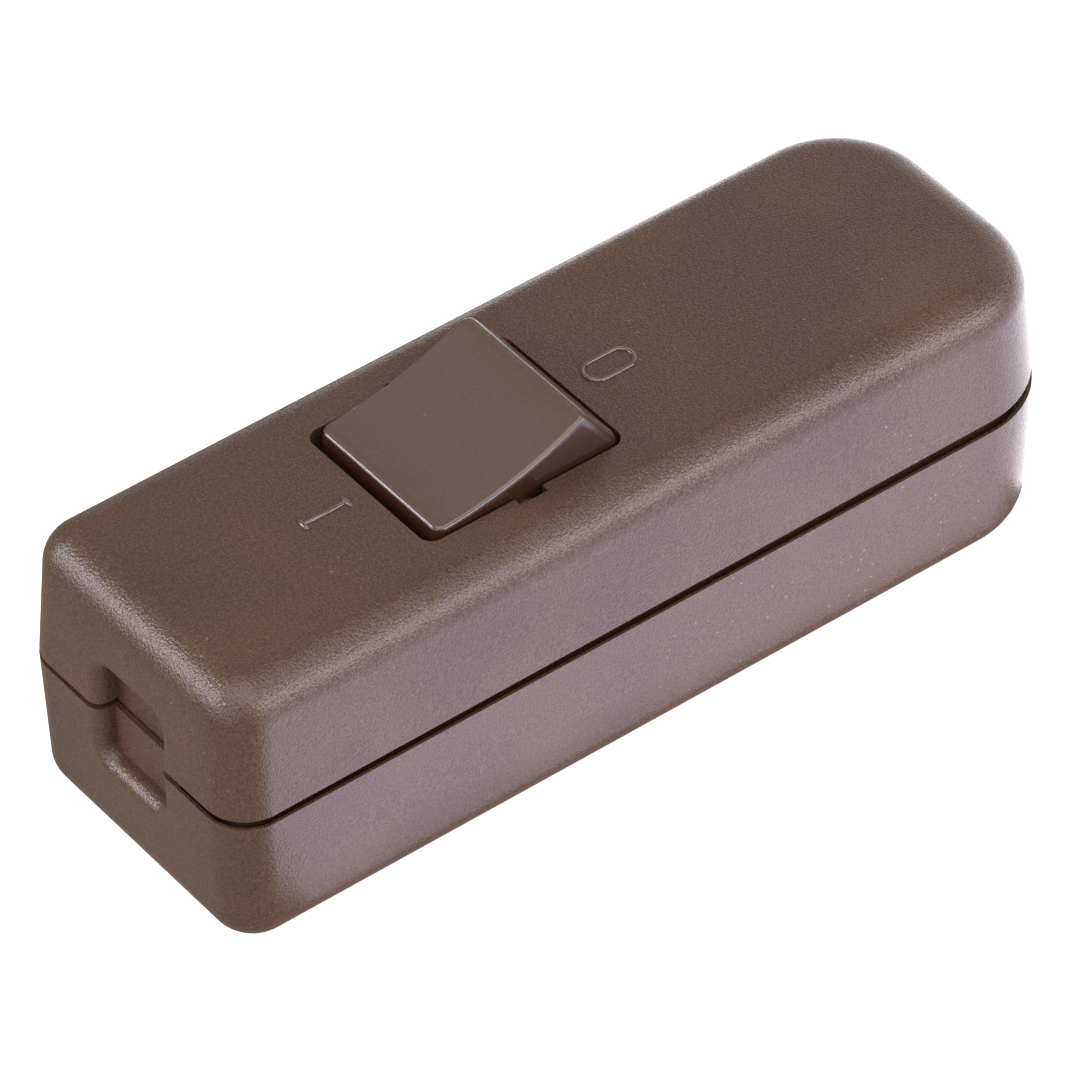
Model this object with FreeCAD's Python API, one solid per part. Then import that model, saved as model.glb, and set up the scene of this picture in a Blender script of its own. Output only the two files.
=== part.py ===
import FreeCAD, Part
import math
import os

# Inline cord switch: a two-part case with a rocker, a two-pole see-saw mechanism, terminals and cord clamps.
# X runs along the case from the end beside the rocker to the longer end, Z is up from the underside.

V = FreeCAD.Vector
X = V(1, 0, 0)
Y = V(0, 1, 0)
Z = V(0, 0, 1)

# Case outline
case_length = 86.0
case_width = 29.3
case_height = 27.03
near_corner_radius = 3.84
far_corner_radius = 9.13
top_edge_radius = 3.69
bottom_edge_radius = 3.14
cover_draft = math.radians(3.25)
base_draft = math.radians(1.62)
wall = 2.2
floor_thickness = 2.0
roof_thickness = 2.0
inner_edge_chamfer = 1.0

# Joint between the two shells: a tongue behind a shadow gap that opens towards the far front corner
base_rim_height = 13.77
gap_near_back = 0.45
gap_near_front = 0.8
gap_far_front = 1.25
rim_land = 0.28
tongue_inset = 1.1
tongue_thickness = 0.95
tongue_height = 2.6
tongue_clearance = 0.1
groove_depth = 1.2

# Rocker opening in the cover
rocker_centre = -8.97
opening_length = 19.9
opening_width = 16.52
opening_corner_radius = 1.25
notch_width = 2.75
notch_depth = 0.79
collar_wall = 1.2
collar_depth = 3.0

# Rocker
pivot_height = 24.9
rocker_tilt = 15.0
rocker_side_clearance = 0.36
dish_edge_half = 7.75
dish_edge_height = 4.8
dish_sag = 0.9
rocker_end_taper = math.radians(22.5)
skirt_clearance = 0.12
skirt_angle = math.radians(27)
rocker_wall = 1.3
rocker_roof = 1.4
rocker_corner_radius = 1.0
rocker_edge_radius = 0.45
rocker_shoulder_radius = 3.0
trunnion_radius = 1.1
trunnion_reach = 2.4
running_clearance = 0.05
bearing_block_length = 6.4
bearing_block_width = 2.4

# Sprung plungers in the rocker
pole_offset = 4.6
barrel_radius = 2.6
barrel_reach = 7.0
bore_top = 1.6
plunger_radius = 1.5
plunger_tip_radius = 0.4
plunger_tip_reach = 10.7
plunger_shoulder_reach = 3.0
spigot_radius = 0.7
spigot_length = 1.2
spring_wire_radius = 0.2
spring_mean_radius = 1.15
spring_turns = 4

# See-saw contact arms
seesaw_swing = 9.0
seesaw_rise = math.radians(13)
seesaw_thickness = 0.8
seesaw_width = 4.0
contact_arm = 8.4
free_arm = 6.4
ear_radius = 0.55
ear_width = 6.2
seesaw_bend_radius = 0.6
crossing_clearance = 0.25
contact_distance = 7.3
contact_radius = 1.5
contact_thickness = 0.8
contact_shank_radius = 0.7
contact_closed_gap = 0.12
rivet_upset_radius = 1.1
rivet_upset_height = 0.35
rivet_clearance = 0.02

# Terminals
terminal_offset = 6.2
terminal_length = 6.5
terminal_width = 5.5
terminal_height = 8.0
wire_bore_radius = 1.7
wire_bore_height = 4.2
terminal_edge = 0.4
strip_thickness = 1.0
cheek_length = 3.4
cheek_thickness = 0.9
cheek_gap = 0.2
line_terminal_x = -22.25
load_terminal_x = 9.2
earth_terminal_x = 19.6
earth_terminal_length = 11.0
earth_terminal_width = 5.8
earth_screw_pitch = 5.9
locating_rib = 1.0
locating_rib_height = 3.0
locating_clearance = 0.1
barrier_thickness = 1.0
barrier_height = 13.4
barrier_near_x = -26.0
barrier_far_x = 12.6

# Screws
terminal_thread_radius = 1.45
terminal_head_radius = 2.5
terminal_head_height = 2.2
terminal_screw_length = 4.4
terminal_screw_rise = 2.2
thread_clearance = 0.05
screw_hole_clearance = 0.15
screw_end_room = 1.0
slot_width = 0.8
slot_depth = 1.1
slot_turn = 37.0
clamp_thread_radius = 1.2
clamp_head_radius = 2.5
clamp_head_height = 1.8
clamp_screw_length = 9.0
housing_thread_radius = 1.3
housing_head_radius = 2.6
housing_head_height = 1.9
housing_screw_length = 16.0

# Housing screw pillars
pillar_radius = 3.6
recess_radius = 2.9
recess_depth = 6.0
clearance_hole_radius = 1.7
cover_boss_radius = 3.2
near_pillar_inset = 6.4
near_pillar_side_gap = 0.45
far_pillar_inset = 7.5
far_pillar_side_gap = 0.65

# Cord clamps
near_clamp_inset = 13.5
far_clamp_inset = 14.5
clamp_wall_gap = 0.75
clamp_drop = 1.9
clamp_boss_radius = 2.6
clamp_width = 6.4
clamp_thickness = 2.2
clamp_end_radius = 2.8
clamp_head_gap = 0.3
clamp_tooth_height = 0.6
clamp_tooth_width = 0.8
saddle_thickness = 1.4

# Cable entries
entry_centre_height = 13.9
entry_half_width = 4.1
entry_half_height = 4.9
entry_corner = 1.4
entry_mouth_radius = 1.3
panel_thickness = 0.45
panel_frame = 1.2
panel_lap = 1.0

# Stiffening ribs under the cover
cover_rib_thickness = 1.2
cover_rib_depth = 2.4
cover_rib_near_x = -26.0
cover_rib_far_x = 14.0

# Places that follow from the sizes above
end_x = case_length / 2
side_y = case_width / 2
tongue_top = base_rim_height + tongue_height
roof_height = case_height - roof_thickness
rocker_width = opening_width - 2 * rocker_side_clearance
skirt_radius = opening_length / 2 - skirt_clearance
dish_radius = (dish_edge_half**2 + dish_sag**2) / (2 * dish_sag)
pivot = V(rocker_centre, 0, pivot_height)
seesaw_height = pivot_height - plunger_tip_reach - crossing_clearance - seesaw_thickness / 2
contact_angle = seesaw_rise - math.radians(seesaw_swing)
terminal_top = floor_thickness + terminal_height
near_pillar_x = near_pillar_inset - end_x
near_pillar_y = side_y - wall - near_pillar_side_gap - pillar_radius
far_pillar_x = end_x - far_pillar_inset
far_pillar_y = far_pillar_side_gap + pillar_radius + wall - side_y
clamp_near_x = near_clamp_inset - end_x
clamp_far_x = end_x - far_clamp_inset
clamp_screw_offset = side_y - wall - clamp_wall_gap - clamp_end_radius
clamp_seat = entry_centre_height - clamp_drop
cord_channel_radius = clamp_screw_offset - clamp_head_radius - clamp_head_gap - clamp_thickness
entry_frame_half = entry_half_width + entry_mouth_radius + panel_frame
base_entry_depth = wall - panel_thickness
cover_entry_depth = wall + tongue_clearance


def box(x0, x1, y0, y1, z0, z1):
    return Part.makeBox(x1 - x0, y1 - y0, z1 - z0, V(x0, y0, z0))


def rod(radius, length, start, direction=Z):
    return Part.makeCylinder(radius, length, start, direction)


def slab(points, start, travel):
    """A closed straight-sided outline, given by points, moved to start and extruded along travel."""
    face = Part.Face(Part.makePolygon(points + points[:1]))
    face.translate(start)
    return face.extrude(travel)


def rounded_outline(low, high, half, low_radius, high_radius):
    """Rectangle from low to high along X and +-half along Y, with its own corner radius at each end."""
    corners = [
        (high - high_radius, -half, high, -half + high_radius, high_radius, -45),
        (high, half - high_radius, high - high_radius, half, high_radius, 45),
        (low + low_radius, half, low, half - low_radius, low_radius, 135),
        (low, -half + low_radius, low + low_radius, -half, low_radius, 225),
    ]
    edges = []
    for number, (ax, ay, bx, by, radius, angle) in enumerate(corners):
        turn = math.radians(angle)
        centre_x = high - radius if number < 2 else low + radius
        centre_y = (half - radius) * (-1 if number in (0, 3) else 1)
        middle = V(centre_x + radius * math.cos(turn), centre_y + radius * math.sin(turn), 0)
        edges.append(Part.Arc(V(ax, ay, 0), middle, V(bx, by, 0)).toShape())
        following = corners[(number + 1) % 4]
        edges.append(Part.LineSegment(V(bx, by, 0), V(following[0], following[1], 0)).toShape())
    return Part.Wire(edges)


def upright_edges(shape):
    half_height = shape.BoundBox.ZLength / 2
    return [e for e in shape.Edges if abs(e.Vertexes[0].Z - e.Vertexes[-1].Z) > half_height]


def tapered_block(low_half, high_half, low, high, near_radius, far_radius):
    """Block about the Z axis with leaning sides and its own radius on the upright edges at -X and at +X."""
    (low_x, low_y), (high_x, high_y) = low_half, high_half
    block = Part.makeWedge(-low_x, 0, -low_y, -high_y, -high_x, low_x, high - low, low_y, high_y, high_x)
    block.rotate(V(0, 0, 0), X, 90)
    block.translate(V(0, 0, low))
    block = block.makeFillet(near_radius, [e for e in upright_edges(block) if e.Vertexes[0].X < 0])
    return block.makeFillet(far_radius, [e for e in upright_edges(block) if e.Vertexes[0].X > 0])


def case_wire(height, inset):
    """Case outline at the joint, moved in by inset and set at a height."""
    outline = rounded_outline(
        -end_x + inset,
        end_x - inset,
        side_y - inset,
        near_corner_radius - inset,
        far_corner_radius - inset,
    )
    outline.translate(V(0, 0, height))
    return outline


def case_block(low, high, inset):
    """Block of the case outline whose walls lean in away from the rim of the base."""
    draft = cover_draft if high > base_rim_height else base_draft
    half = []
    for height in (low, high):
        lean = abs(height - base_rim_height) * math.tan(draft)
        half.append((end_x - inset - lean, side_y - inset - lean))
    return tapered_block(half[0], half[1], low, high, near_corner_radius - inset, far_corner_radius - inset)


def case_prism(low, high, inset):
    """Straight-walled block of the outline at the joint."""
    return Part.Face(case_wire(low, inset)).extrude(V(0, 0, high - low))


def edges_at_height(shape, height):
    return [e for e in shape.Edges if all(abs(v.Z - height) < 1e-4 for v in e.Vertexes)]


def both_ends(shape):
    """The shape at the near end and its mirror image at the far end."""
    return [shape, shape.mirror(V(0, 0, 0), X)]


def rim_gap_block():
    """Everything under the tilted rim plane of the cover."""
    slope_x = (gap_far_front - gap_near_front) / case_length
    slope_y = (gap_near_back - gap_near_front) / case_width
    reach = case_length

    def corner(x, y):
        gap = gap_near_front + slope_x * (x + end_x) + slope_y * (y + side_y)
        return V(x, y, base_rim_height + gap)

    top = [corner(-reach, -reach), corner(reach, -reach), corner(reach, reach), corner(-reach, reach)]
    return slab(top, V(0, 0, 0), V(0, 0, -case_height))


def entry_pocket(depth):
    """Straight-walled pocket of the near cable entry, as deep as its break-out panel."""
    outline = rounded_outline(-entry_half_height, entry_half_height, entry_half_width, entry_corner, entry_corner)
    outline.rotate(V(0, 0, 0), Y, -90)
    outline.translate(V(-end_x - wall, 0, entry_centre_height))
    return Part.Face(outline).extrude(V(wall + depth, 0, 0))


def open_entries(block, depth):
    """Cuts the pockets of both cable entries into a block of the case outline and rounds their mouths."""
    block = block.cut(both_ends(entry_pocket(depth)))
    mouth_x = end_x - entry_mouth_radius / 2

    def at_mouth(vertex):
        return abs(vertex.X) > mouth_x and abs(vertex.Y) < entry_half_width + 1e-3

    return block.makeFillet(entry_mouth_radius, [e for e in block.Edges if all(at_mouth(v) for v in e.Vertexes)])


def entry_block(x0, x1, low, high):
    """Block across the near cable entry between two depths from the end of the case."""
    return box(x0 - end_x, x1 - end_x, -entry_frame_half, entry_frame_half, low, high)


def pillar_places():
    return [(near_pillar_x, near_pillar_y), (far_pillar_x, far_pillar_y)]


def clamp_places():
    return [(x, y * clamp_screw_offset) for x in (clamp_near_x, clamp_far_x) for y in (-1, 1)]


def base_body():
    outer = case_block(0, base_rim_height, 0)
    outer = outer.makeFillet(bottom_edge_radius, edges_at_height(outer, 0))
    outer = open_entries(outer, base_entry_depth)
    cavity = case_block(floor_thickness, base_rim_height, wall)
    cavity = cavity.makeChamfer(inner_edge_chamfer, edges_at_height(cavity, floor_thickness))
    body = outer.cut(cavity)
    tongue = case_prism(base_rim_height, tongue_top, tongue_inset).cut(
        case_prism(base_rim_height, tongue_top, tongue_inset + tongue_thickness)
    )
    tongue = tongue.cut(both_ends(entry_block(0, 2 * wall, base_rim_height, tongue_top)))
    groove_floor = base_rim_height - groove_depth
    groove = case_prism(groove_floor, tongue_top, rim_land).cut(
        case_prism(groove_floor, tongue_top, tongue_inset)
    )
    groove = groove.cut(both_ends(entry_block(0, 2 * wall, groove_floor, tongue_top)))
    return body.fuse(tongue).cut(groove)


def base_cord_saddle(x):
    """Wall across a cord clamp, notched for the cord, with a screw boss at each end."""
    half = clamp_screw_offset
    bridge = box(x - saddle_thickness / 2, x + saddle_thickness / 2, -half, half, floor_thickness, clamp_seat)
    channel = rod(cord_channel_radius, clamp_width, V(x - clamp_width / 2, 0, entry_centre_height), X)
    boss_height = clamp_seat - floor_thickness
    bosses = [rod(clamp_boss_radius, boss_height, V(x, side * half, floor_thickness)) for side in (-1, 1)]
    return bridge.cut(channel).fuse(bosses)


def block_cradle(x, y, length, width):
    """Low ribs on both sides of a terminal block."""
    ribs = []
    for side in (-1, 1):
        inner = y + side * (width / 2 + locating_clearance)
        outer = inner + side * locating_rib
        low, high = sorted((inner, outer))
        top = floor_thickness + locating_rib_height
        ribs.append(box(x - length / 2, x + length / 2, low, high, floor_thickness, top))
    return ribs


def bearing_post(side):
    """Gusset on the base wall whose finger closes the rocker's bearing from below."""
    inner = opening_width / 2 + notch_depth + running_clearance
    outer = opening_width / 2 + bearing_block_width - running_clearance
    low, high = sorted((side * inner, side * outer))
    x0, x1 = rocker_centre - trunnion_radius, rocker_centre + trunnion_radius
    finger = box(x0, x1, low, high, floor_thickness, pivot_height)
    seat = rod(trunnion_radius + running_clearance, case_width, V(rocker_centre, -side_y, pivot_height), Y)
    low, high = sorted((side * outer, side * (side_y - wall)))
    half = saddle_thickness / 2
    gusset = box(rocker_centre - half, rocker_centre + half, low, high, floor_thickness, base_rim_height)
    return finger.cut(seat).fuse(gusset)


def fixed_contact_place():
    """Centre of the fixed contact's face, just under the closed moving contact."""
    reach = seesaw_thickness / 2 + contact_thickness
    x = contact_distance * math.cos(contact_angle) + reach * math.sin(contact_angle)
    z = contact_distance * math.sin(contact_angle) - reach * math.cos(contact_angle)
    return rocker_centre + x, seesaw_height + z - contact_closed_gap


def make_lower_shell():
    shell = base_body()
    additions = [base_cord_saddle(x) for x in (clamp_near_x, clamp_far_x)]
    for x, y in pillar_places():
        additions.append(rod(pillar_radius, base_rim_height - floor_thickness, V(x, y, floor_thickness)))
    for side in (-1, 1):
        additions += block_cradle(line_terminal_x, side * terminal_offset, terminal_length, terminal_width)
        additions += block_cradle(load_terminal_x, side * terminal_offset, terminal_length, terminal_width)
        additions.append(bearing_post(side))
        additions.append(contact_anvil(side))
    additions += block_cradle(earth_terminal_x, 0, earth_terminal_length, earth_terminal_width)
    barrier_half = barrier_thickness / 2
    additions.append(
        box(
            barrier_near_x,
            barrier_far_x,
            -barrier_half,
            barrier_half,
            floor_thickness,
            floor_thickness + barrier_height,
        )
    )
    shell = shell.fuse(additions)
    cuts = []
    for x, y in pillar_places():
        cuts.append(rod(recess_radius, recess_depth, V(x, y, 0)))
        cuts.append(rod(clearance_hole_radius, case_height, V(x, y, 0)))
    pilot_depth = clamp_screw_length - clamp_thickness + screw_end_room
    for x, y in clamp_places():
        cuts.append(rod(clamp_thread_radius + thread_clearance, pilot_depth, V(x, y, clamp_seat - pilot_depth)))
    return shell.cut(cuts).removeSplitter()


def contact_anvil(side):
    """Post under the contact tongue of a load terminal."""
    x, contact_top = fixed_contact_place()
    tongue_bottom = contact_top - contact_thickness - strip_thickness
    half = contact_radius
    y = side * pole_offset
    return box(x - half, x + half, y - half, y + half, floor_thickness, tongue_bottom)


def entry_cover_frame():
    """Thickening of the cover's end wall around the near cable entry, with its break-out panel."""
    top = entry_centre_height + entry_half_height + panel_frame
    return entry_block(0, cover_entry_depth + panel_thickness, base_rim_height, top)


def entry_panel_lap():
    """Lower edge of the cover's break-out panel, which hangs behind the panel of the base."""
    x = cover_entry_depth - end_x
    half = entry_half_width + panel_frame
    return box(x, x + panel_thickness, -half, half, base_rim_height - panel_lap, tongue_top)


def cover_body():
    outer = case_block(base_rim_height, case_height, 0)
    outer = outer.makeFillet(top_edge_radius, edges_at_height(outer, case_height))
    outer = open_entries(outer, cover_entry_depth)
    cavity = case_block(base_rim_height, roof_height, wall)
    cavity = cavity.makeChamfer(inner_edge_chamfer, edges_at_height(cavity, roof_height))
    rebate = case_prism(base_rim_height, tongue_top, tongue_inset - tongue_clearance)
    hollow = cavity.fuse(rebate).cut(both_ends(entry_cover_frame()))
    return outer.cut(hollow)


def opening_prism(grow, low, high):
    half_length = opening_length / 2 + grow
    outline = rounded_outline(
        rocker_centre - half_length,
        rocker_centre + half_length,
        opening_width / 2 + grow,
        opening_corner_radius + grow,
        opening_corner_radius + grow,
    )
    outline.translate(V(0, 0, low))
    return Part.Face(outline).extrude(V(0, 0, high - low))


def bearing_block(side):
    """Block beside the opening that holds a rocker trunnion from above."""
    low, high = sorted((side * opening_width / 2, side * (opening_width / 2 + bearing_block_width)))
    half = bearing_block_length / 2
    return box(rocker_centre - half, rocker_centre + half, low, high, roof_height - collar_depth, roof_height)


def bearing_slot():
    """Slot for both trunnions, open below, with a round top at the pivot."""
    radius = trunnion_radius + running_clearance
    reach = opening_width / 2 + bearing_block_width + running_clearance
    round_top = rod(radius, 2 * reach, V(rocker_centre, -reach, pivot_height), Y)
    below = box(
        rocker_centre - radius, rocker_centre + radius, -reach, reach, roof_height - 2 * collar_depth, pivot_height
    )
    return round_top.fuse(below)


def cover_rib(x):
    inner = case_wire(roof_height, wall)
    rib_floor = roof_height - cover_rib_depth
    span = Part.Face(inner).extrude(V(0, 0, -cover_rib_depth))
    return span.common(
        box(x - cover_rib_thickness / 2, x + cover_rib_thickness / 2, -side_y, side_y, rib_floor, roof_height)
    )


def make_upper_shell():
    shell = cover_body()
    additions = [opening_prism(collar_wall, roof_height - collar_depth, roof_height)]
    additions += [bearing_block(side) for side in (-1, 1)]
    additions += [cover_rib(x) for x in (cover_rib_near_x, cover_rib_far_x)]
    for x, y in pillar_places():
        additions.append(rod(cover_boss_radius, roof_height - base_rim_height, V(x, y, base_rim_height)))
    shell = shell.fuse(additions)
    cuts = [opening_prism(0, roof_height - 2 * collar_depth, case_height + roof_thickness), bearing_slot()]
    notch_reach = opening_width / 2 + notch_depth
    notch_half = notch_width / 2
    cuts.append(
        box(
            rocker_centre - notch_half,
            rocker_centre + notch_half,
            -notch_reach,
            notch_reach,
            roof_height - 2 * collar_depth,
            case_height + roof_thickness,
        )
    )
    for x, y in pillar_places():
        pilot = housing_thread_radius + thread_clearance
        depth = recess_depth + housing_screw_length + screw_end_room - base_rim_height
        cuts.append(rod(pilot, depth, V(x, y, base_rim_height)))
    shell = shell.cut(cuts)
    rim = rim_gap_block()
    pillar_cores = [rod(cover_boss_radius, tongue_height, V(x, y, base_rim_height)) for x, y in pillar_places()]
    rim = rim.cut(pillar_cores)
    return shell.cut(rim).fuse(both_ends(entry_panel_lap())).removeSplitter()


def rocker_profile(offset, roof, floor_drop):
    """Side outline of the rocker about its pivot, and where its tapered ends meet the round skirt."""
    radius = skirt_radius - offset
    lean = math.tan(rocker_end_taper)
    end_base = dish_edge_half + dish_edge_height * lean - offset / math.cos(rocker_end_taper)
    spread = 1 + lean * lean

    def end_u(w):
        return end_base - w * lean

    dish_centre = dish_edge_height + math.sqrt(dish_radius**2 - dish_edge_half**2)
    dish = dish_radius + roof
    half_sum = end_base * lean + dish_centre
    top_w = (half_sum - math.sqrt(half_sum**2 - spread * (end_base**2 + dish_centre**2 - dish**2))) / spread
    join_w = (end_base * lean - math.sqrt(spread * radius**2 - end_base**2)) / spread
    low_w = -skirt_radius * math.sin(skirt_angle) - floor_drop
    low_u = math.sqrt(radius**2 - low_w**2)
    middle = (math.atan2(join_w, end_u(join_w)) + math.atan2(low_w, low_u)) / 2
    top = V(end_u(top_w), 0, top_w)
    join = V(end_u(join_w), 0, join_w)
    skirt = V(radius * math.cos(middle), 0, radius * math.sin(middle))
    low = V(low_u, 0, low_w)

    def across(point):
        return V(-point.x, 0, point.z)

    edges = [
        Part.Arc(across(top), V(0, 0, dish_centre - dish), top).toShape(),
        Part.LineSegment(top, join).toShape(),
        Part.Arc(join, skirt, low).toShape(),
        Part.LineSegment(low, across(low)).toShape(),
        Part.Arc(across(low), across(skirt), across(join)).toShape(),
        Part.LineSegment(across(join), across(top)).toShape(),
    ]
    return Part.Face(Part.Wire(edges)), join


def rocker_cap():
    face, join = rocker_profile(0, 0, 0)
    face.translate(V(0, -rocker_width / 2, 0))
    cap = face.extrude(V(0, rocker_width, 0))
    half = rocker_width / 2

    def is_shoulder(edge):
        return all(abs(abs(v.X) - join.x) < 1e-3 and abs(v.Z - join.z) < 1e-3 for v in edge.Vertexes)

    cap = cap.makeFillet(rocker_shoulder_radius, [e for e in cap.Edges if is_shoulder(e)])

    def is_corner(edge):
        middle = edge.valueAt((edge.FirstParameter + edge.LastParameter) / 2)
        return abs(abs(middle.y) - half) < 1e-3 and abs(middle.x) > dish_edge_half

    cap = cap.makeFillet(rocker_corner_radius, [e for e in cap.Edges if is_corner(e)])
    dish_faces = [f for f in cap.Faces if f.CenterOfMass.z > dish_edge_height - 2 * dish_sag]
    dish_face = max(dish_faces, key=lambda f: f.Area)
    return cap.makeFillet(rocker_edge_radius, dish_face.Edges)


def rocker_at_neutral():
    cap = rocker_cap()
    hollow, _ = rocker_profile(rocker_wall, rocker_roof, rocker_wall)
    inner_half = rocker_width / 2 - rocker_wall
    hollow.translate(V(0, -inner_half, 0))
    cap = cap.cut(hollow.extrude(V(0, 2 * inner_half, 0)))
    half = rocker_width / 2 + trunnion_reach
    inner_top = dish_edge_height - dish_sag - rocker_roof / 2
    additions = []
    bores = []
    for side in (-1, 1):
        start = V(0, min(side * inner_half, side * half), 0)
        additions.append(rod(trunnion_radius, half - inner_half, start, Y))
        y = side * pole_offset
        additions.append(rod(barrel_radius, barrel_reach + inner_top, V(0, y, -barrel_reach)))
        bores.append(
            rod(plunger_radius + running_clearance, barrel_reach + bore_top, V(0, y, -barrel_reach))
        )
    web_half = pole_offset - barrel_radius + plunger_radius / 2
    web = box(-rocker_wall / 2, rocker_wall / 2, -web_half, web_half, -barrel_reach / 2, inner_top)
    additions.append(web)
    return cap.fuse(additions).cut(bores).removeSplitter()


def tilt_with_rocker(shape):
    """Moves a piece from the rocker's own upright frame to its place with the near end pressed."""
    shape.rotate(V(0, 0, 0), Y, -rocker_tilt)
    shape.translate(pivot)
    return shape


def make_rocker():
    return tilt_with_rocker(rocker_at_neutral())


def make_plunger(side):
    nose = plunger_radius - plunger_tip_radius
    straight = plunger_tip_reach - nose - plunger_shoulder_reach
    y = side * pole_offset
    tip = Part.makeCone(plunger_tip_radius, plunger_radius, nose, V(0, y, -plunger_tip_reach))
    body = rod(plunger_radius, straight, V(0, y, -plunger_tip_reach + nose))
    spigot = rod(spigot_radius, spigot_length, V(0, y, -plunger_shoulder_reach))
    return tilt_with_rocker(body.fuse([tip, spigot]).removeSplitter())


def make_plunger_spring(side):
    room = bore_top + plunger_shoulder_reach
    rise = room - 2 * spring_wire_radius - 2 * running_clearance
    helix = Part.makeHelix(rise / spring_turns, rise, spring_mean_radius)
    section = [
        V(spring_mean_radius + spring_wire_radius * u, 0, spring_wire_radius * w)
        for u, w in ((1, 0), (0, 1), (-1, 0), (0, -1), (1, 0))
    ]
    coil = Part.Wire(helix).makePipeShell([Part.makePolygon(section)], True, True)
    coil.translate(V(0, side * pole_offset, -plunger_shoulder_reach + spring_wire_radius + running_clearance))
    return tilt_with_rocker(coil)


def tilt_with_seesaw(shape, side):
    """Moves a piece from the see-saw's level frame to its place with the contact closed."""
    shape.rotate(V(0, 0, 0), Y, seesaw_swing)
    shape.translate(V(rocker_centre, side * pole_offset, seesaw_height))
    return shape


def make_seesaw(side):
    half = seesaw_thickness / 2
    cosine = math.cos(seesaw_rise)
    sine = math.sin(seesaw_rise)

    def at(along, up, direction):
        return V(direction * (along * cosine - up * sine), 0, along * sine + up * cosine)

    lift = half / cosine
    outline = [
        V(0, 0, lift),
        at(contact_arm, half, 1),
        at(contact_arm, -half, 1),
        V(0, 0, -lift),
        at(free_arm, -half, -1),
        at(free_arm, half, -1),
    ]
    strip = slab(outline, V(0, -seesaw_width / 2, 0), V(0, seesaw_width, 0))
    bends = [e for e in strip.Edges if all(abs(v.X) < 1e-6 for v in e.Vertexes) and abs(e.Vertexes[0].Z) < 1]
    strip = strip.makeFillet(seesaw_bend_radius, bends)
    ears = rod(ear_radius, ear_width, V(0, -ear_width / 2, 0), Y)
    strip = strip.fuse(ears)
    hole = rod(contact_shank_radius + rivet_clearance, 4 * half, V(contact_distance, 0, -2 * half))
    hole.rotate(V(0, 0, 0), Y, -math.degrees(seesaw_rise))
    return tilt_with_seesaw(strip.cut(hole), side)


def rivet(sheet_thickness):
    """Contact rivet along Z: the sheet lies from z 0 upwards, the head is below it, the upset end above."""
    head = rod(contact_radius, contact_thickness, V(0, 0, -contact_thickness))
    shank = rod(contact_shank_radius, sheet_thickness, V(0, 0, 0))
    upset = rod(rivet_upset_radius, rivet_upset_height, V(0, 0, sheet_thickness))
    return head.fuse([shank, upset])


def make_moving_contact(side):
    piece = rivet(seesaw_thickness)
    piece.translate(V(contact_distance, 0, -seesaw_thickness / 2))
    piece.rotate(V(0, 0, 0), Y, -math.degrees(seesaw_rise))
    return tilt_with_seesaw(piece, side)


def make_fixed_contact(side):
    piece = rivet(strip_thickness - rivet_upset_height)
    piece.rotate(V(0, 0, 0), X, 180)
    x, contact_top = fixed_contact_place()
    piece.translate(V(x, side * pole_offset, contact_top - contact_thickness))
    return piece


def terminal_block(x, y, length, width, screw_places):
    """Brass block with a wire bore along X and threaded holes from the top."""
    block = box(x - length / 2, x + length / 2, y - width / 2, y + width / 2, floor_thickness, terminal_top)
    block = block.makeFillet(terminal_edge, upright_edges(block))
    bore_height = floor_thickness + wire_bore_height
    cuts = [rod(wire_bore_radius, length, V(x - length / 2, y, bore_height), X)]
    for place in screw_places:
        cuts.append(rod(terminal_thread_radius + thread_clearance, terminal_height, V(place, y, bore_height)))
    return block.cut(cuts)


def make_line_terminal(side):
    """Terminal block whose floor strip ends in two cheeks that carry the see-saw's ears."""
    block = terminal_block(
        line_terminal_x, side * terminal_offset, terminal_length, terminal_width, [line_terminal_x]
    )
    y = side * pole_offset
    inner = seesaw_width / 2 + cheek_gap
    outer = inner + cheek_thickness
    x_end = rocker_centre + cheek_length / 2
    strip_start = line_terminal_x + terminal_length / 2
    strip = box(strip_start, x_end, y - outer, y + outer, floor_thickness, floor_thickness + strip_thickness)
    pieces = [strip]
    for cheek_side in (-1, 1):
        low, high = sorted((y + cheek_side * inner, y + cheek_side * outer))
        pieces.append(
            box(x_end - cheek_length, x_end, low, high, floor_thickness, seesaw_height + 2 * ear_radius)
        )
    radius = ear_radius + running_clearance
    seat = rod(radius, 2 * outer, V(rocker_centre, y - outer, seesaw_height), Y)
    mouth = box(
        rocker_centre - radius,
        rocker_centre + radius,
        y - outer,
        y + outer,
        seesaw_height,
        seesaw_height + 2 * ear_radius,
    )
    return block.fuse(pieces).cut([seat, mouth]).removeSplitter()


def make_load_terminal(side):
    """Terminal block with an upright strap and the tongue that carries the fixed contact."""
    y = side * terminal_offset
    block = terminal_block(load_terminal_x, y, terminal_length, terminal_width, [load_terminal_x])
    contact_x, contact_top = fixed_contact_place()
    tongue_top_z = contact_top - contact_thickness
    tongue_bottom = tongue_top_z - strip_thickness
    strap_x = load_terminal_x - terminal_length / 2
    half = seesaw_width / 2
    pole_y = side * pole_offset
    strap = box(
        strap_x,
        strap_x + strip_thickness,
        pole_y - half,
        pole_y + half,
        terminal_top - strip_thickness,
        tongue_top_z,
    )
    tongue = box(
        contact_x - contact_radius - terminal_edge,
        strap_x + strip_thickness,
        pole_y - half,
        pole_y + half,
        tongue_bottom,
        tongue_top_z,
    )
    hole = rod(contact_shank_radius + rivet_clearance, strip_thickness, V(contact_x, pole_y, tongue_bottom))
    countersink = rod(
        rivet_upset_radius + rivet_clearance, rivet_upset_height, V(contact_x, pole_y, tongue_bottom)
    )
    tongue = tongue.cut([hole, countersink])
    return block.fuse([strap, tongue]).removeSplitter()


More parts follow.
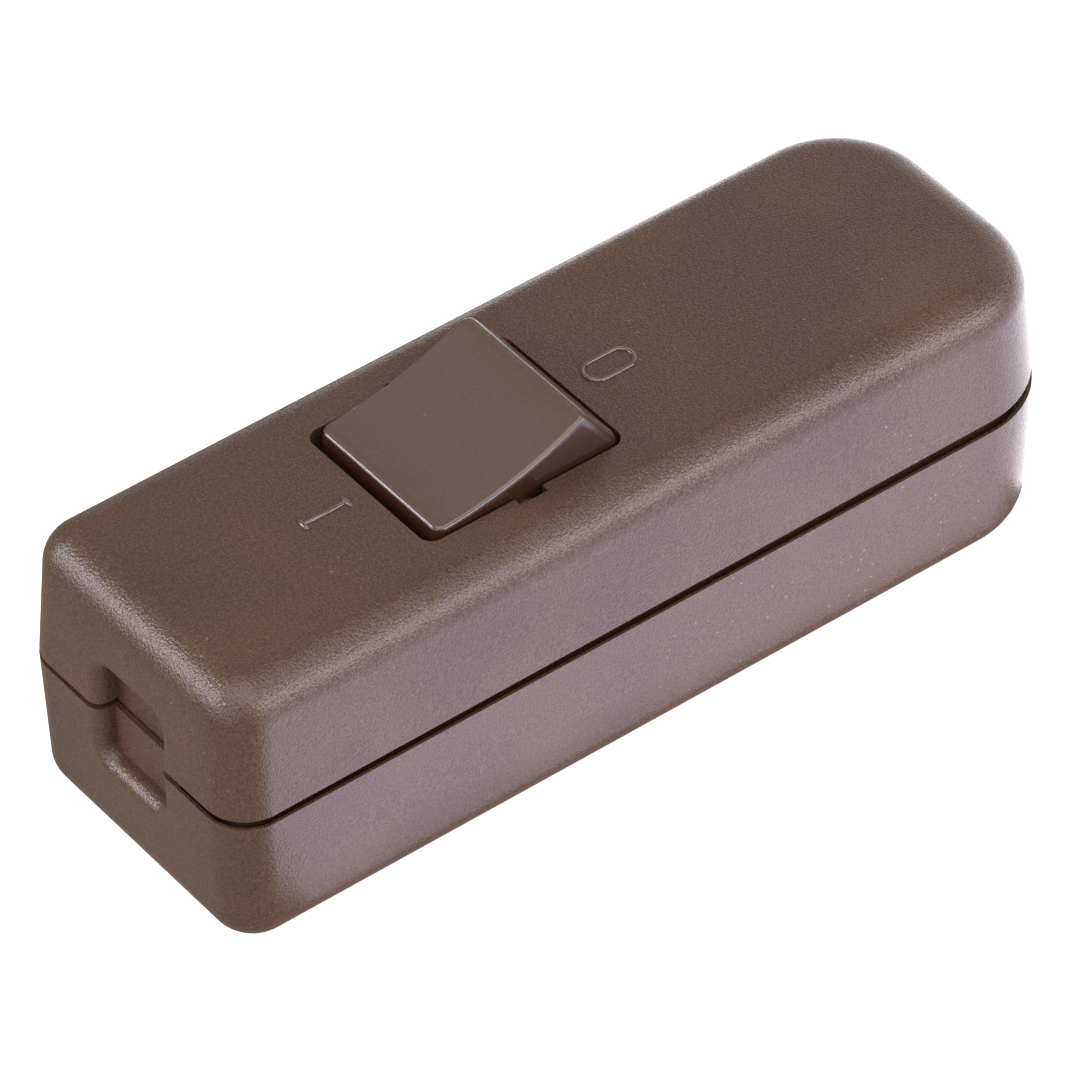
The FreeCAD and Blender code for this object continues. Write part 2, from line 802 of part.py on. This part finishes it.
def make_earth_terminal():
    places = [earth_terminal_x + s * earth_screw_pitch / 2 for s in (-1, 1)]
    return terminal_block(earth_terminal_x, 0, earth_terminal_length, earth_terminal_width, places)


def screw(thread_radius, length, head_radius, head_height):
    """Slotted screw that points down, with its head standing on z 0."""
    head = rod(head_radius, head_height, V(0, 0, 0))
    slot = box(-head_radius, head_radius, -slot_width / 2, slot_width / 2, head_height - slot_depth, head_height)
    return head.cut(slot).fuse(rod(thread_radius, length, V(0, 0, -length)))


def screw_set(pattern, places, seat):
    """Copies of one screw at a height, each with its slot at another angle."""
    screws = []
    for number, (x, y) in enumerate(places):
        piece = pattern.copy()
        piece.rotate(V(0, 0, 0), Z, number * slot_turn)
        piece.translate(V(x, y, seat))
        screws.append(piece)
    return Part.makeCompound(screws)


def make_terminal_screws():
    places = [(line_terminal_x, side * terminal_offset) for side in (-1, 1)]
    places += [(load_terminal_x, side * terminal_offset) for side in (-1, 1)]
    places += [(earth_terminal_x + side * earth_screw_pitch / 2, 0) for side in (-1, 1)]
    pattern = screw(terminal_thread_radius, terminal_screw_length, terminal_head_radius, terminal_head_height)
    return screw_set(pattern, places, terminal_top + terminal_screw_rise)


def make_cord_clamp(x):
    """Bridge over the cord that is screwed down on both sides of it."""
    half = clamp_screw_offset + clamp_end_radius
    flat = box(x - clamp_width / 2, x + clamp_width / 2, -half, half, clamp_seat, clamp_seat + clamp_thickness)
    flat = flat.makeFillet(clamp_end_radius, upright_edges(flat))
    start = V(x - clamp_width / 2, 0, entry_centre_height)
    arch = rod(cord_channel_radius + clamp_thickness, clamp_width, start, X)
    above = box(x - clamp_width, x + clamp_width, -half, half, clamp_seat, case_height)
    arch = arch.common(above)
    channel = rod(cord_channel_radius, clamp_width, start, X)
    way_in = box(
        x - clamp_width,
        x + clamp_width,
        -cord_channel_radius,
        cord_channel_radius,
        clamp_seat,
        entry_centre_height,
    )
    body = flat.fuse(arch).cut([channel, way_in])
    arch_top = entry_centre_height + cord_channel_radius
    teeth = []
    for place in (-1, 1):
        low = x + place * clamp_width / 4 - clamp_tooth_width / 2
        half_span = math.sqrt(cord_channel_radius**2 - (cord_channel_radius - clamp_tooth_height) ** 2)
        teeth.append(
            box(
                low,
                low + clamp_tooth_width,
                -half_span,
                half_span,
                arch_top - clamp_tooth_height,
                arch_top + clamp_thickness / 2,
            )
        )
    hole_radius = clamp_thread_radius + screw_hole_clearance
    holes = [rod(hole_radius, clamp_thickness, V(x, side * clamp_screw_offset, clamp_seat)) for side in (-1, 1)]
    return body.fuse(teeth).cut(holes).removeSplitter()


def make_clamp_screws():
    pattern = screw(clamp_thread_radius, clamp_screw_length, clamp_head_radius, clamp_head_height)
    return screw_set(pattern, clamp_places(), clamp_seat + clamp_thickness)


def make_housing_screws():
    pattern = screw(housing_thread_radius, housing_screw_length, housing_head_radius, housing_head_height)
    pattern.rotate(V(0, 0, 0), X, 180)
    return screw_set(pattern, pillar_places(), recess_depth)


def build():
    parts = {
        "lower_shell": make_lower_shell(),
        "upper_shell": make_upper_shell(),
        "rocker": make_rocker(),
        "earth_terminal": make_earth_terminal(),
        "near_cord_clamp": make_cord_clamp(clamp_near_x),
        "far_cord_clamp": make_cord_clamp(clamp_far_x),
        "terminal_screws": make_terminal_screws(),
        "clamp_screws": make_clamp_screws(),
        "housing_screws": make_housing_screws(),
    }
    pole_parts = {
        "plunger": make_plunger,
        "plunger_spring": make_plunger_spring,
        "seesaw": make_seesaw,
        "moving_contact": make_moving_contact,
        "fixed_contact": make_fixed_contact,
        "line_terminal": make_line_terminal,
        "load_terminal": make_load_terminal,
    }
    for name, make in pole_parts.items():
        for pole, side in (("left", 1), ("right", -1)):
            parts[f"{name}_{pole}"] = make(side)
    return parts


os.makedirs("parts", exist_ok=True)
for node, shape in build().items():
    shape.exportStep(f"parts/{node}.step")
    print(node, "solids", len(shape.Solids), "valid", shape.isValid(), "volume", round(shape.Volume, 1))
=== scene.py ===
import math

import bmesh
import bpy
from mathutils import Matrix, Vector


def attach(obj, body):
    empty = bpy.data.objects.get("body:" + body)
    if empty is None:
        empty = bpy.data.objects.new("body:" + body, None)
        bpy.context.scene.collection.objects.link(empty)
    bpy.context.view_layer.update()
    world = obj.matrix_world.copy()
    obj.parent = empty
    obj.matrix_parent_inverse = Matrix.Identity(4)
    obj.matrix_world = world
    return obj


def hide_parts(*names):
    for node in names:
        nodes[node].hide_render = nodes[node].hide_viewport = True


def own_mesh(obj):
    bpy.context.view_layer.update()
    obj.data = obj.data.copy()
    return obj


# inline cord switch: brown two-part case, dished rocker, raised 0 and I beside it
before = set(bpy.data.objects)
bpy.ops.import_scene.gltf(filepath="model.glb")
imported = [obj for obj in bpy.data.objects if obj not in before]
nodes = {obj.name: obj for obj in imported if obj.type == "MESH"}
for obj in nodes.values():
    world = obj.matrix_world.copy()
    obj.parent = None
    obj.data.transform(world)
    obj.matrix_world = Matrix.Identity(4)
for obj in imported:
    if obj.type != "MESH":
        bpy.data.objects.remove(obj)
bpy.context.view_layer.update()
mm = 0.001
print("frame loaded:", len(nodes), "nodes")


class Value:
    # a socket for plain arithmetic; each step adds a Math node
    def __init__(self, paint, socket):
        self.paint = paint
        self.socket = socket

    def math(self, operation, first, second):
        return self.paint.add("ShaderNodeMath", {"operation": operation}, [first, second])

    def __add__(self, other):
        return self.math("ADD", self, other)

    def __radd__(self, other):
        return self.math("ADD", other, self)

    def __sub__(self, other):
        return self.math("SUBTRACT", self, other)

    def __rsub__(self, other):
        return self.math("SUBTRACT", other, self)

    def __mul__(self, other):
        return self.math("MULTIPLY", self, other)

    def __rmul__(self, other):
        return self.math("MULTIPLY", other, self)

    def clamped(self, low, high, newLow=0.0, newHigh=1.0):
        settings = {"interpolation_type": "SMOOTHSTEP"}
        return self.paint.add("ShaderNodeMapRange", settings, [self, low, high, newLow, newHigh])


class Paint:
    # one material and its nodes
    def __init__(self, name):
        self.material = bpy.data.materials.new(name)
        self.material.use_nodes = True
        self.tree = self.material.node_tree
        self.shader = self.tree.nodes["Principled BSDF"]
        place = self.tree.nodes.new("ShaderNodeTexCoord")
        self.place = Value(self, place.outputs["Object"])
        self.facing = Value(self, place.outputs["Normal"])

    def add(self, kind, settings, values, output=0):
        # settings go on the node first, then values or links go to its sockets
        node = self.tree.nodes.new(kind)
        for key, setting in settings.items():
            setattr(node, key, setting)
        pairs = values.items() if isinstance(values, dict) else enumerate(values)
        for key, value in pairs:
            self.feed(node.inputs[key], value)
        return Value(self, node.outputs[output])

    def feed(self, socket, value):
        if isinstance(value, Value):
            self.tree.links.new(value.socket, socket)
        else:
            socket.default_value = value

    def noise(self, scale, detail=2.0, roughness=0.5, place=None):
        values = {"Vector": place or self.place, "Scale": scale, "Detail": detail, "Roughness": roughness}
        return self.add("ShaderNodeTexNoise", {}, values)

    def cells(self, scale):
        return self.add("ShaderNodeTexVoronoi", {"feature": "F1"}, {"Vector": self.place, "Scale": scale})

    def stretched(self, sizes):
        return self.add("ShaderNodeMapping", {"vector_type": "POINT"}, {"Vector": self.place, "Scale": sizes})

    def upward(self):
        # how far the surface faces up, from -1 to 1
        return self.add("ShaderNodeSeparateXYZ", {}, [self.facing], output=2)

    def mixed(self, amount, first, second):
        settings = {"data_type": "RGBA", "blend_type": "MIX"}
        return self.add("ShaderNodeMix", settings, {0: amount, 6: first, 7: second}, output=2)

    def bump(self, height, strength, distance):
        return self.add("ShaderNodeBump", {}, {"Height": height, "Strength": strength, "Distance": distance})

    def finish(self, **sockets):
        for name, value in sockets.items():
            self.feed(self.shader.inputs[name.replace("_", " ")], value)
        return self.material


plastic = {
    "driftDetail": 3.0, "driftRange": (0.3, 0.7), "driftShare": 0.3,
    "grainDetail": 1.5, "grainShare": 1.6, "toneShift": 0.45, "grainMiddle": 0.5,
    # the span of facing, from side to up, over which the painted side shade fades out
    "shadeRange": (0.2, 0.9),
    "speckRange": (0.05, 0.11), "patchScale": 0.04, "patchRange": (0.5, 0.64), "dustColour": (0.62, 0.56, 0.5),
}


def mouldedPlastic(name, look):
    # fine eroded mould grain, a slow drift of tone, a few specks of dust and, where the look gives a side colour,
    # painted shade on the sides
    paint = Paint(name)
    drift = paint.noise(look["driftScale"], plastic["driftDetail"]).clamped(*plastic["driftRange"])
    fine = paint.noise(look["grainScale"], plastic["grainDetail"])
    specks = paint.cells(look["dustScale"]).clamped(*plastic["speckRange"], 1.0, 0.0)
    patches = paint.noise(look["dustScale"] * plastic["patchScale"]).clamped(*plastic["patchRange"])
    tone = drift * plastic["driftShare"] + fine * plastic["grainShare"] - plastic["toneShift"]
    colour = paint.mixed(tone.clamped(0.0, 1.0), (*look["dark"], 1.0), (*look["light"], 1.0))
    if "sideShade" in look:  # painted shade: faces turned away from up take a darker colour than the upper face
        unshadedShare = paint.upward().clamped(*plastic["shadeRange"])
        colour = paint.mixed(unshadedShare, (*look["sideShade"], 1.0), colour)
    colour = paint.mixed(specks * patches * look["dust"], colour, (*plastic["dustColour"], 1.0))
    grain = paint.bump(fine, look["grain"], look["grainDepth"])
    swing = fine - plastic["grainMiddle"]
    rough = look["roughness"] + swing * look["roughnessSpread"]
    coat = look["coat"]
    if look["coatSpread"]:
        coat = (coat + swing * look["coatSpread"]).clamped(0.0, 1.0)
    return paint.finish(
        Base_Color=colour, Roughness=rough, Normal=grain, Specular_IOR_Level=look["specular"],
        Coat_Weight=coat, Coat_Roughness=look["coatRoughness"],
    )


rolled = {
    "lineScale": 900.0, "lineDetail": 3.0, "lineStretch": (0.08, 1.0, 1.0), "edge": 0.6,
    "tarnishScale": 260.0, "tarnishDetail": 4.0, "tarnishRange": (0.45, 0.75), "tarnishShare": 0.5,
    "lineRoughness": 0.14, "tarnishRoughness": 0.12, "scratch": 0.15, "scratchDepth": 0.00002,
}


def metal(name, look):
    # drawn or rolled metal: fine lines along X and a little tarnish
    paint = Paint(name)
    stretched = paint.stretched(rolled["lineStretch"])
    lines = paint.noise(rolled["lineScale"], rolled["lineDetail"], rolled["edge"], stretched)
    tarnish = paint.noise(rolled["tarnishScale"], rolled["tarnishDetail"], rolled["edge"])
    tarnish = tarnish.clamped(*rolled["tarnishRange"])
    colour = paint.mixed(tarnish * rolled["tarnishShare"], (*look["bright"], 1.0), (*look["dull"], 1.0))
    rough = look["roughness"] + lines * rolled["lineRoughness"] + tarnish * rolled["tarnishRoughness"]
    scratches = paint.bump(lines, rolled["scratch"], rolled["scratchDepth"])
    return paint.finish(Base_Color=colour, Roughness=rough, Normal=scratches, Metallic=1.0)


caseLook = {
    "dark": (0.036, 0.0165, 0.0088), "light": (0.073, 0.0335, 0.0180),
    "driftScale": 60.0, "grainScale": 5000.0, "grain": 1.0, "grainDepth": 0.000075,
    "dustScale": 900.0, "dust": 0.22,
    "roughness": 0.31, "roughnessSpread": 0.3, "specular": 0.5, "coat": 0.1, "coatSpread": 1.0, "coatRoughness": 0.3,
}
# the dark side colour here is painted shade for the rocker's sides, which sit down in the opening
rockerLook = {
    "dark": (0.054, 0.0325, 0.0205), "light": (0.061, 0.037, 0.0245), "sideShade": (0.031, 0.0122, 0.0062),
    "driftScale": 90.0, "grainScale": 3600.0, "grain": 0.7, "grainDepth": 0.00003,
    "dustScale": 900.0, "dust": 0.22,
    "roughness": 0.24, "roughnessSpread": 0.1, "specular": 0.5, "coat": 0.35, "coatSpread": 0.2, "coatRoughness": 0.1,
}
# the marks keep the rocker's painted side shade, and their lighter tone is a painted sheen on the raised beads
markLook = dict(
    rockerLook, dark=(0.07, 0.036, 0.024), light=(0.076, 0.04, 0.027), grain=0.1, roughness=0.22, coat=0.6,
)
innerLook = {
    "dark": (0.035, 0.032, 0.03), "light": (0.05, 0.046, 0.042),
    "driftScale": 120.0, "grainScale": 3000.0, "grain": 0.15, "grainDepth": 0.00003,
    "dustScale": 900.0, "dust": 0.0,
    "roughness": 0.5, "roughnessSpread": 0.1, "specular": 0.5, "coat": 0.0, "coatSpread": 0.0, "coatRoughness": 0.3,
}
naturalLook = dict(innerLook, dark=(0.5, 0.48, 0.42), light=(0.6, 0.58, 0.52))
metalLooks = {
    "brass": {"bright": (0.78, 0.58, 0.27), "dull": (0.45, 0.3, 0.14), "roughness": 0.22},
    "copper": {"bright": (0.8, 0.46, 0.3), "dull": (0.42, 0.22, 0.13), "roughness": 0.25},
    "silver": {"bright": (0.86, 0.85, 0.82), "dull": (0.5, 0.47, 0.42), "roughness": 0.2},
    "zinc": {"bright": (0.7, 0.7, 0.68), "dull": (0.42, 0.41, 0.38), "roughness": 0.28},
    "springSteel": {"bright": (0.62, 0.62, 0.62), "dull": (0.36, 0.35, 0.33), "roughness": 0.24},
}
casePlastic = mouldedPlastic("brownGrainedPlastic", caseLook)
rockerPlastic = mouldedPlastic("brownSatinPlastic", rockerLook)
markPlastic = mouldedPlastic("brownSmoothPlastic", markLook)
clampPlastic = mouldedPlastic("blackClampPlastic", innerLook)
naturalPlastic = mouldedPlastic("naturalPlungerPlastic", naturalLook)
metals = {name: metal(name + "Metal", look) for name, look in metalLooks.items()}
finishes = {
    "earth_terminal": metals["brass"], "line_terminal": metals["brass"], "load_terminal": metals["brass"],
    "terminal_screws": metals["zinc"], "clamp_screws": metals["zinc"], "housing_screws": metals["zinc"],
    "near_cord_clamp": clampPlastic, "far_cord_clamp": clampPlastic,
    "plunger_spring": metals["springSteel"], "plunger": naturalPlastic,
    "seesaw": metals["copper"], "moving_contact": metals["silver"], "fixed_contact": metals["silver"],
}
print("materials made:", len(bpy.data.materials))


def paintNode(node, material):
    mesh = nodes[node].data
    mesh.materials.clear()
    mesh.materials.append(material)


for name in nodes:
    for start, material in finishes.items():
        if name.startswith(start):
            paintNode(name, material)
            break
print("inner pieces painted")


smoothing = {
    "sharp": math.radians(32), "flat": math.radians(0.05), "weld": 0.002 * mm, "weight": 100,
    "looks": {
        "lower_shell": {"material": casePlastic, "slot": "shell", "body": "housing"},
        "upper_shell": {"material": casePlastic, "slot": "shell", "body": "housing"},
        "rocker": {"material": rockerPlastic, "slot": "rocker", "body": "rocker"},
    },
}


def smoothCopy(node, look):
    # a merged copy with smooth shading, split only where the surface really turns
    mesh = nodes[node].data.copy()
    shape = bmesh.new()
    shape.from_mesh(mesh)
    bmesh.ops.remove_doubles(shape, verts=shape.verts, dist=smoothing["weld"])
    flat = [e for e in shape.edges if len(e.link_faces) == 2 and e.calc_face_angle(0.0) < smoothing["flat"]]
    bmesh.ops.dissolve_limit(
        shape, angle_limit=smoothing["flat"], use_dissolve_boundaries=False, verts=shape.verts, edges=flat,
    )
    bmesh.ops.triangulate(shape, faces=shape.faces, quad_method="BEAUTY", ngon_method="BEAUTY")
    for face in shape.faces:
        face.smooth = True
    for edge in shape.edges:
        edge.smooth = edge.calc_face_angle(0.0) < smoothing["sharp"]
    shape.to_mesh(mesh)
    shape.free()
    piece = bpy.data.objects.new(node + "_skin", mesh)
    bpy.context.scene.collection.objects.link(piece)
    mesh.materials.clear()
    mesh.materials.append(look["material"])
    weigh = piece.modifiers.new("faceWeights", "WEIGHTED_NORMAL")
    weigh.keep_sharp = True
    weigh.weight = smoothing["weight"]
    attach(piece, look["body"])
    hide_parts(node)
    return piece


skins = {node: smoothCopy(node, look) for node, look in smoothing["looks"].items()}
print("shells and rocker smoothed:", {n: len(p.data.polygons) for n, p in skins.items()})


springs = {"poles": ("left", "right"), "tilt": math.radians(15), "travel": 0.8}


def springCopy(pole):
    # a copy of the coil hung on the rocker; the share of its length to keep when the plunger is pushed in is worked
    # out but not applied
    node = "plunger_spring_" + pole
    mesh = nodes[node].data.copy()
    along = Vector((-math.sin(springs["tilt"]), 0, math.cos(springs["tilt"])))
    heights = [v.co.dot(along) for v in mesh.vertices]
    seat, foot = max(heights), min(heights)
    piece = bpy.data.objects.new(node + "_coil", mesh)
    bpy.context.scene.collection.objects.link(piece)
    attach(piece, "rocker")
    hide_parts(node)
    keep = 1 - springs["travel"] * mm / (seat - foot)
    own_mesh(piece)
    return keep


print("springs made, share kept:", [round(springCopy(pole), 3) for pole in springs["poles"]])


marks = {
    "top": 27.03, "beadRadius": 0.23, "beadSink": 0.03, "beadSides": 16, "beadRings": 8,
    "ringCentre": 5.37, "ringAcross": -0.2, "ringHalfLength": 2.57, "ringHalfWidth": 1.43, "ringSteps": 40,
    "barFrom": -25.2, "barTo": -20.9, "barAcross": -0.13, "serifHalf": 0.72,
}


def newPiece(name, shape, material, body):
    mesh = bpy.data.meshes.new(name)
    for face in shape.faces:
        face.smooth = True
    shape.to_mesh(mesh)
    shape.free()
    mesh.materials.append(material)
    piece = bpy.data.objects.new(name, mesh)
    bpy.context.scene.collection.objects.link(piece)
    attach(piece, body)
    return piece


def raisedRing():
    # a bead spun round, then parted in the middle and drawn out along X
    radius = marks["ringHalfWidth"] - marks["beadRadius"]
    shape = bmesh.new()
    bmesh.ops.create_circle(shape, segments=marks["beadSides"], radius=marks["beadRadius"])
    bmesh.ops.rotate(shape, verts=shape.verts, cent=(0, 0, 0), matrix=Matrix.Rotation(math.pi / 2, 3, "X"))
    bmesh.ops.translate(shape, verts=shape.verts, vec=(radius, 0, 0))
    step = math.pi / marks["ringSteps"]
    bmesh.ops.rotate(shape, verts=shape.verts, cent=(0, 0, 0), matrix=Matrix.Rotation(step, 3, "Z"))
    bmesh.ops.spin(
        shape, geom=shape.edges[:], cent=(0, 0, 0), axis=(0, 0, 1), dvec=(0, 0, 0),
        angle=2 * math.pi, steps=marks["ringSteps"], use_merge=True, use_duplicate=False,
    )
    drawn = marks["ringHalfLength"] - marks["ringHalfWidth"]
    for side in (-1, 1):
        half = [v for v in shape.verts if v.co.x * side > 0]
        bmesh.ops.translate(shape, verts=half, vec=(side * drawn, 0, 0))
    middle = (marks["ringCentre"], marks["ringAcross"], marks["top"] - marks["beadSink"])
    bmesh.ops.translate(shape, verts=shape.verts, vec=middle)
    bmesh.ops.scale(shape, verts=shape.verts, vec=(mm, mm, mm))
    bmesh.ops.recalc_face_normals(shape, faces=shape.faces)
    return newPiece("markOff", shape, markPlastic, "housing")


def addBead(shape, centre, half, along):
    # a round bead with domed ends, from a sphere drawn out along one axis
    made = bmesh.ops.create_uvsphere(
        shape, u_segments=marks["beadSides"], v_segments=marks["beadRings"], radius=marks["beadRadius"],
    )["verts"]
    turn = Matrix.Rotation(math.pi / 2, 3, "Y" if along == "X" else "X")
    bmesh.ops.rotate(shape, verts=made, cent=(0, 0, 0), matrix=turn)
    axis = Vector((1, 0, 0)) if along == "X" else Vector((0, 1, 0))
    reach = half - marks["beadRadius"]
    for side in (-1, 1):
        end = [v for v in made if v.co.dot(axis) * side > 1e-6]
        bmesh.ops.translate(shape, verts=end, vec=axis * reach * side)
    bmesh.ops.translate(shape, verts=made, vec=centre)


def raisedBar():
    shape = bmesh.new()
    height = marks["top"] - marks["beadSink"]
    middle = (marks["barFrom"] + marks["barTo"]) / 2
    half = (marks["barTo"] - marks["barFrom"]) / 2
    addBead(shape, Vector((middle, marks["barAcross"], height)), half, "X")
    for end in (marks["barFrom"], marks["barTo"]):
        addBead(shape, Vector((end, marks["barAcross"], height)), marks["serifHalf"], "Y")
    bmesh.ops.scale(shape, verts=shape.verts, vec=(mm, mm, mm))
    bmesh.ops.recalc_face_normals(shape, faces=shape.faces)
    return newPiece("markOn", shape, markPlastic, "housing")


raisedRing()
raisedBar()
print("marks made")


studio = {
    "floorSize": 3.0, "floorColour": (0.9, 0.9, 0.9), "floorRoughness": 0.9, "floorGlow": 0.55,
    "world": (1.0, 0.96, 0.88), "worldStrength": 0.36, "aim": (0.0, 0.0, 0.01), "cardHeight": 0.0005,
}


def makeFloor():
    shape = bmesh.new()
    bmesh.ops.create_grid(shape, x_segments=1, y_segments=1, size=studio["floorSize"] / 2)
    mesh = bpy.data.meshes.new("floor")
    shape.to_mesh(mesh)
    shape.free()
    paint = Paint("paleFloor")
    mesh.materials.append(paint.finish(
        Base_Color=(*studio["floorColour"], 1.0), Roughness=studio["floorRoughness"],
        Emission_Color=(1.0, 1.0, 1.0, 1.0), Emission_Strength=studio["floorGlow"],
    ))
    floor = bpy.data.objects.new("floor", mesh)
    floor.visible_glossy = False  # the case mirrors the card beside it and the dim room instead
    bpy.context.scene.collection.objects.link(floor)


def softLight(name, place, target, size, glow, colour):
    light = bpy.data.lights.new(name, "AREA")
    light.shape = "RECTANGLE"
    light.size, light.size_y = size
    light.energy = glow * math.pi * (size[0] * size[1])
    light.color = colour
    lamp = bpy.data.objects.new(name, light)
    bpy.context.scene.collection.objects.link(lamp)
    lamp.location = place
    lamp.rotation_euler = (Vector(target) - Vector(place)).to_track_quat("-Z", "Y").to_euler()
    return lamp


def lowCard(name, alongX, alongY, glow, colour):
    # a lit card flat on the floor, for the sheen of the case's long side
    size = (alongX[1] - alongX[0], alongY[1] - alongY[0])
    middle = (sum(alongX) / 2, sum(alongY) / 2, studio["cardHeight"])
    above = (middle[0], middle[1], 1.0)
    softLight(name, middle, above, size, glow, colour).visible_camera = False


def makeWorld():
    world = bpy.data.worlds.new("studio")
    world.use_nodes = True
    back = world.node_tree.nodes["Background"]
    back.inputs["Color"].default_value = (*studio["world"], 1.0)
    back.inputs["Strength"].default_value = studio["worldStrength"]
    bpy.context.scene.world = world


view = {
    "place": (-0.317576, -0.420858, 0.498710),
    "right": (0.79028, -0.61259, -0.01405), "up": (0.42376, 0.52983, 0.73465), "back": (-0.44259, -0.58653, 0.67830),
    "picture": 1070.0, "focus": 8814.1, "middle": (556.76, 528.45), "sensor": 36.0, "nearest": 0.05,
}


def makeCamera():
    # the photo's own view, its lengths in pixels of the picture
    picture, half = view["picture"], view["picture"] / 2
    data = bpy.data.cameras.new("camera")
    data.sensor_width = view["sensor"]
    data.lens = view["focus"] * view["sensor"] / picture
    data.shift_x = -(view["middle"][0] - half) / picture
    data.shift_y = (view["middle"][1] - half) / picture
    data.clip_start = view["nearest"]
    camera = bpy.data.objects.new("camera", data)
    bpy.context.scene.collection.objects.link(camera)
    turn = Matrix((view["right"], view["up"], view["back"])).transposed()
    camera.matrix_world = Matrix.Translation(view["place"]) @ turn.to_4x4()
    bpy.context.scene.camera = camera


lamps = {
    "above": {"place": (-0.20, -0.30, 0.74), "size": (1.2, 1.0), "glow": 2.58, "colour": (1.0, 0.98, 0.93)},
    "behind": {"place": (0.02, 0.50, 0.70), "size": (0.5, 0.4), "glow": 0.45, "colour": (1.0, 0.97, 0.9)},
    "frontRight": {"place": (0.40, -0.77, 0.33), "size": (1.0, 0.26), "glow": 8.8, "colour": (1.0, 0.98, 1.13)},
    "backLeft": {"place": (-0.62, 0.40, 0.36), "size": (0.36, 0.3), "glow": 11.5, "colour": (0.98, 0.96, 1.06)},
    "backLeftLow": {"place": (-0.68, 0.47, 0.15), "size": (0.5, 0.22), "glow": 3.2, "colour": (0.98, 0.94, 1.08)},
    "lowLeft": {"place": (-0.75, -0.10, 0.14), "size": (0.7, 0.25), "glow": 2.4, "colour": (1.0, 0.97, 1.16)},
    "rightWall": {"place": (0.65, 0.30, 0.26), "size": (0.8, 0.5), "glow": 0.9, "colour": (1.0, 1.0, 1.0)},
}
cards = {
    "frontCard": {"alongX": (-0.035, 0.20), "alongY": (-0.16, -0.0158), "glow": 1.65, "colour": (1.0, 1.02, 1.36)},
    "rightCard": {"alongX": (0.0418, 0.30), "alongY": (-0.0145, 0.20), "glow": 2.7, "colour": (1.0, 1.0, 1.1)},
}
makeFloor()
makeWorld()
for name, lamp in lamps.items():
    softLight(name, lamp["place"], studio["aim"], lamp["size"], lamp["glow"], lamp["colour"])
for name, card in cards.items():
    lowCard(name, card["alongX"], card["alongY"], card["glow"], card["colour"])
makeCamera()
bpy.context.scene.view_settings.view_transform = "Standard"
print("studio ready")
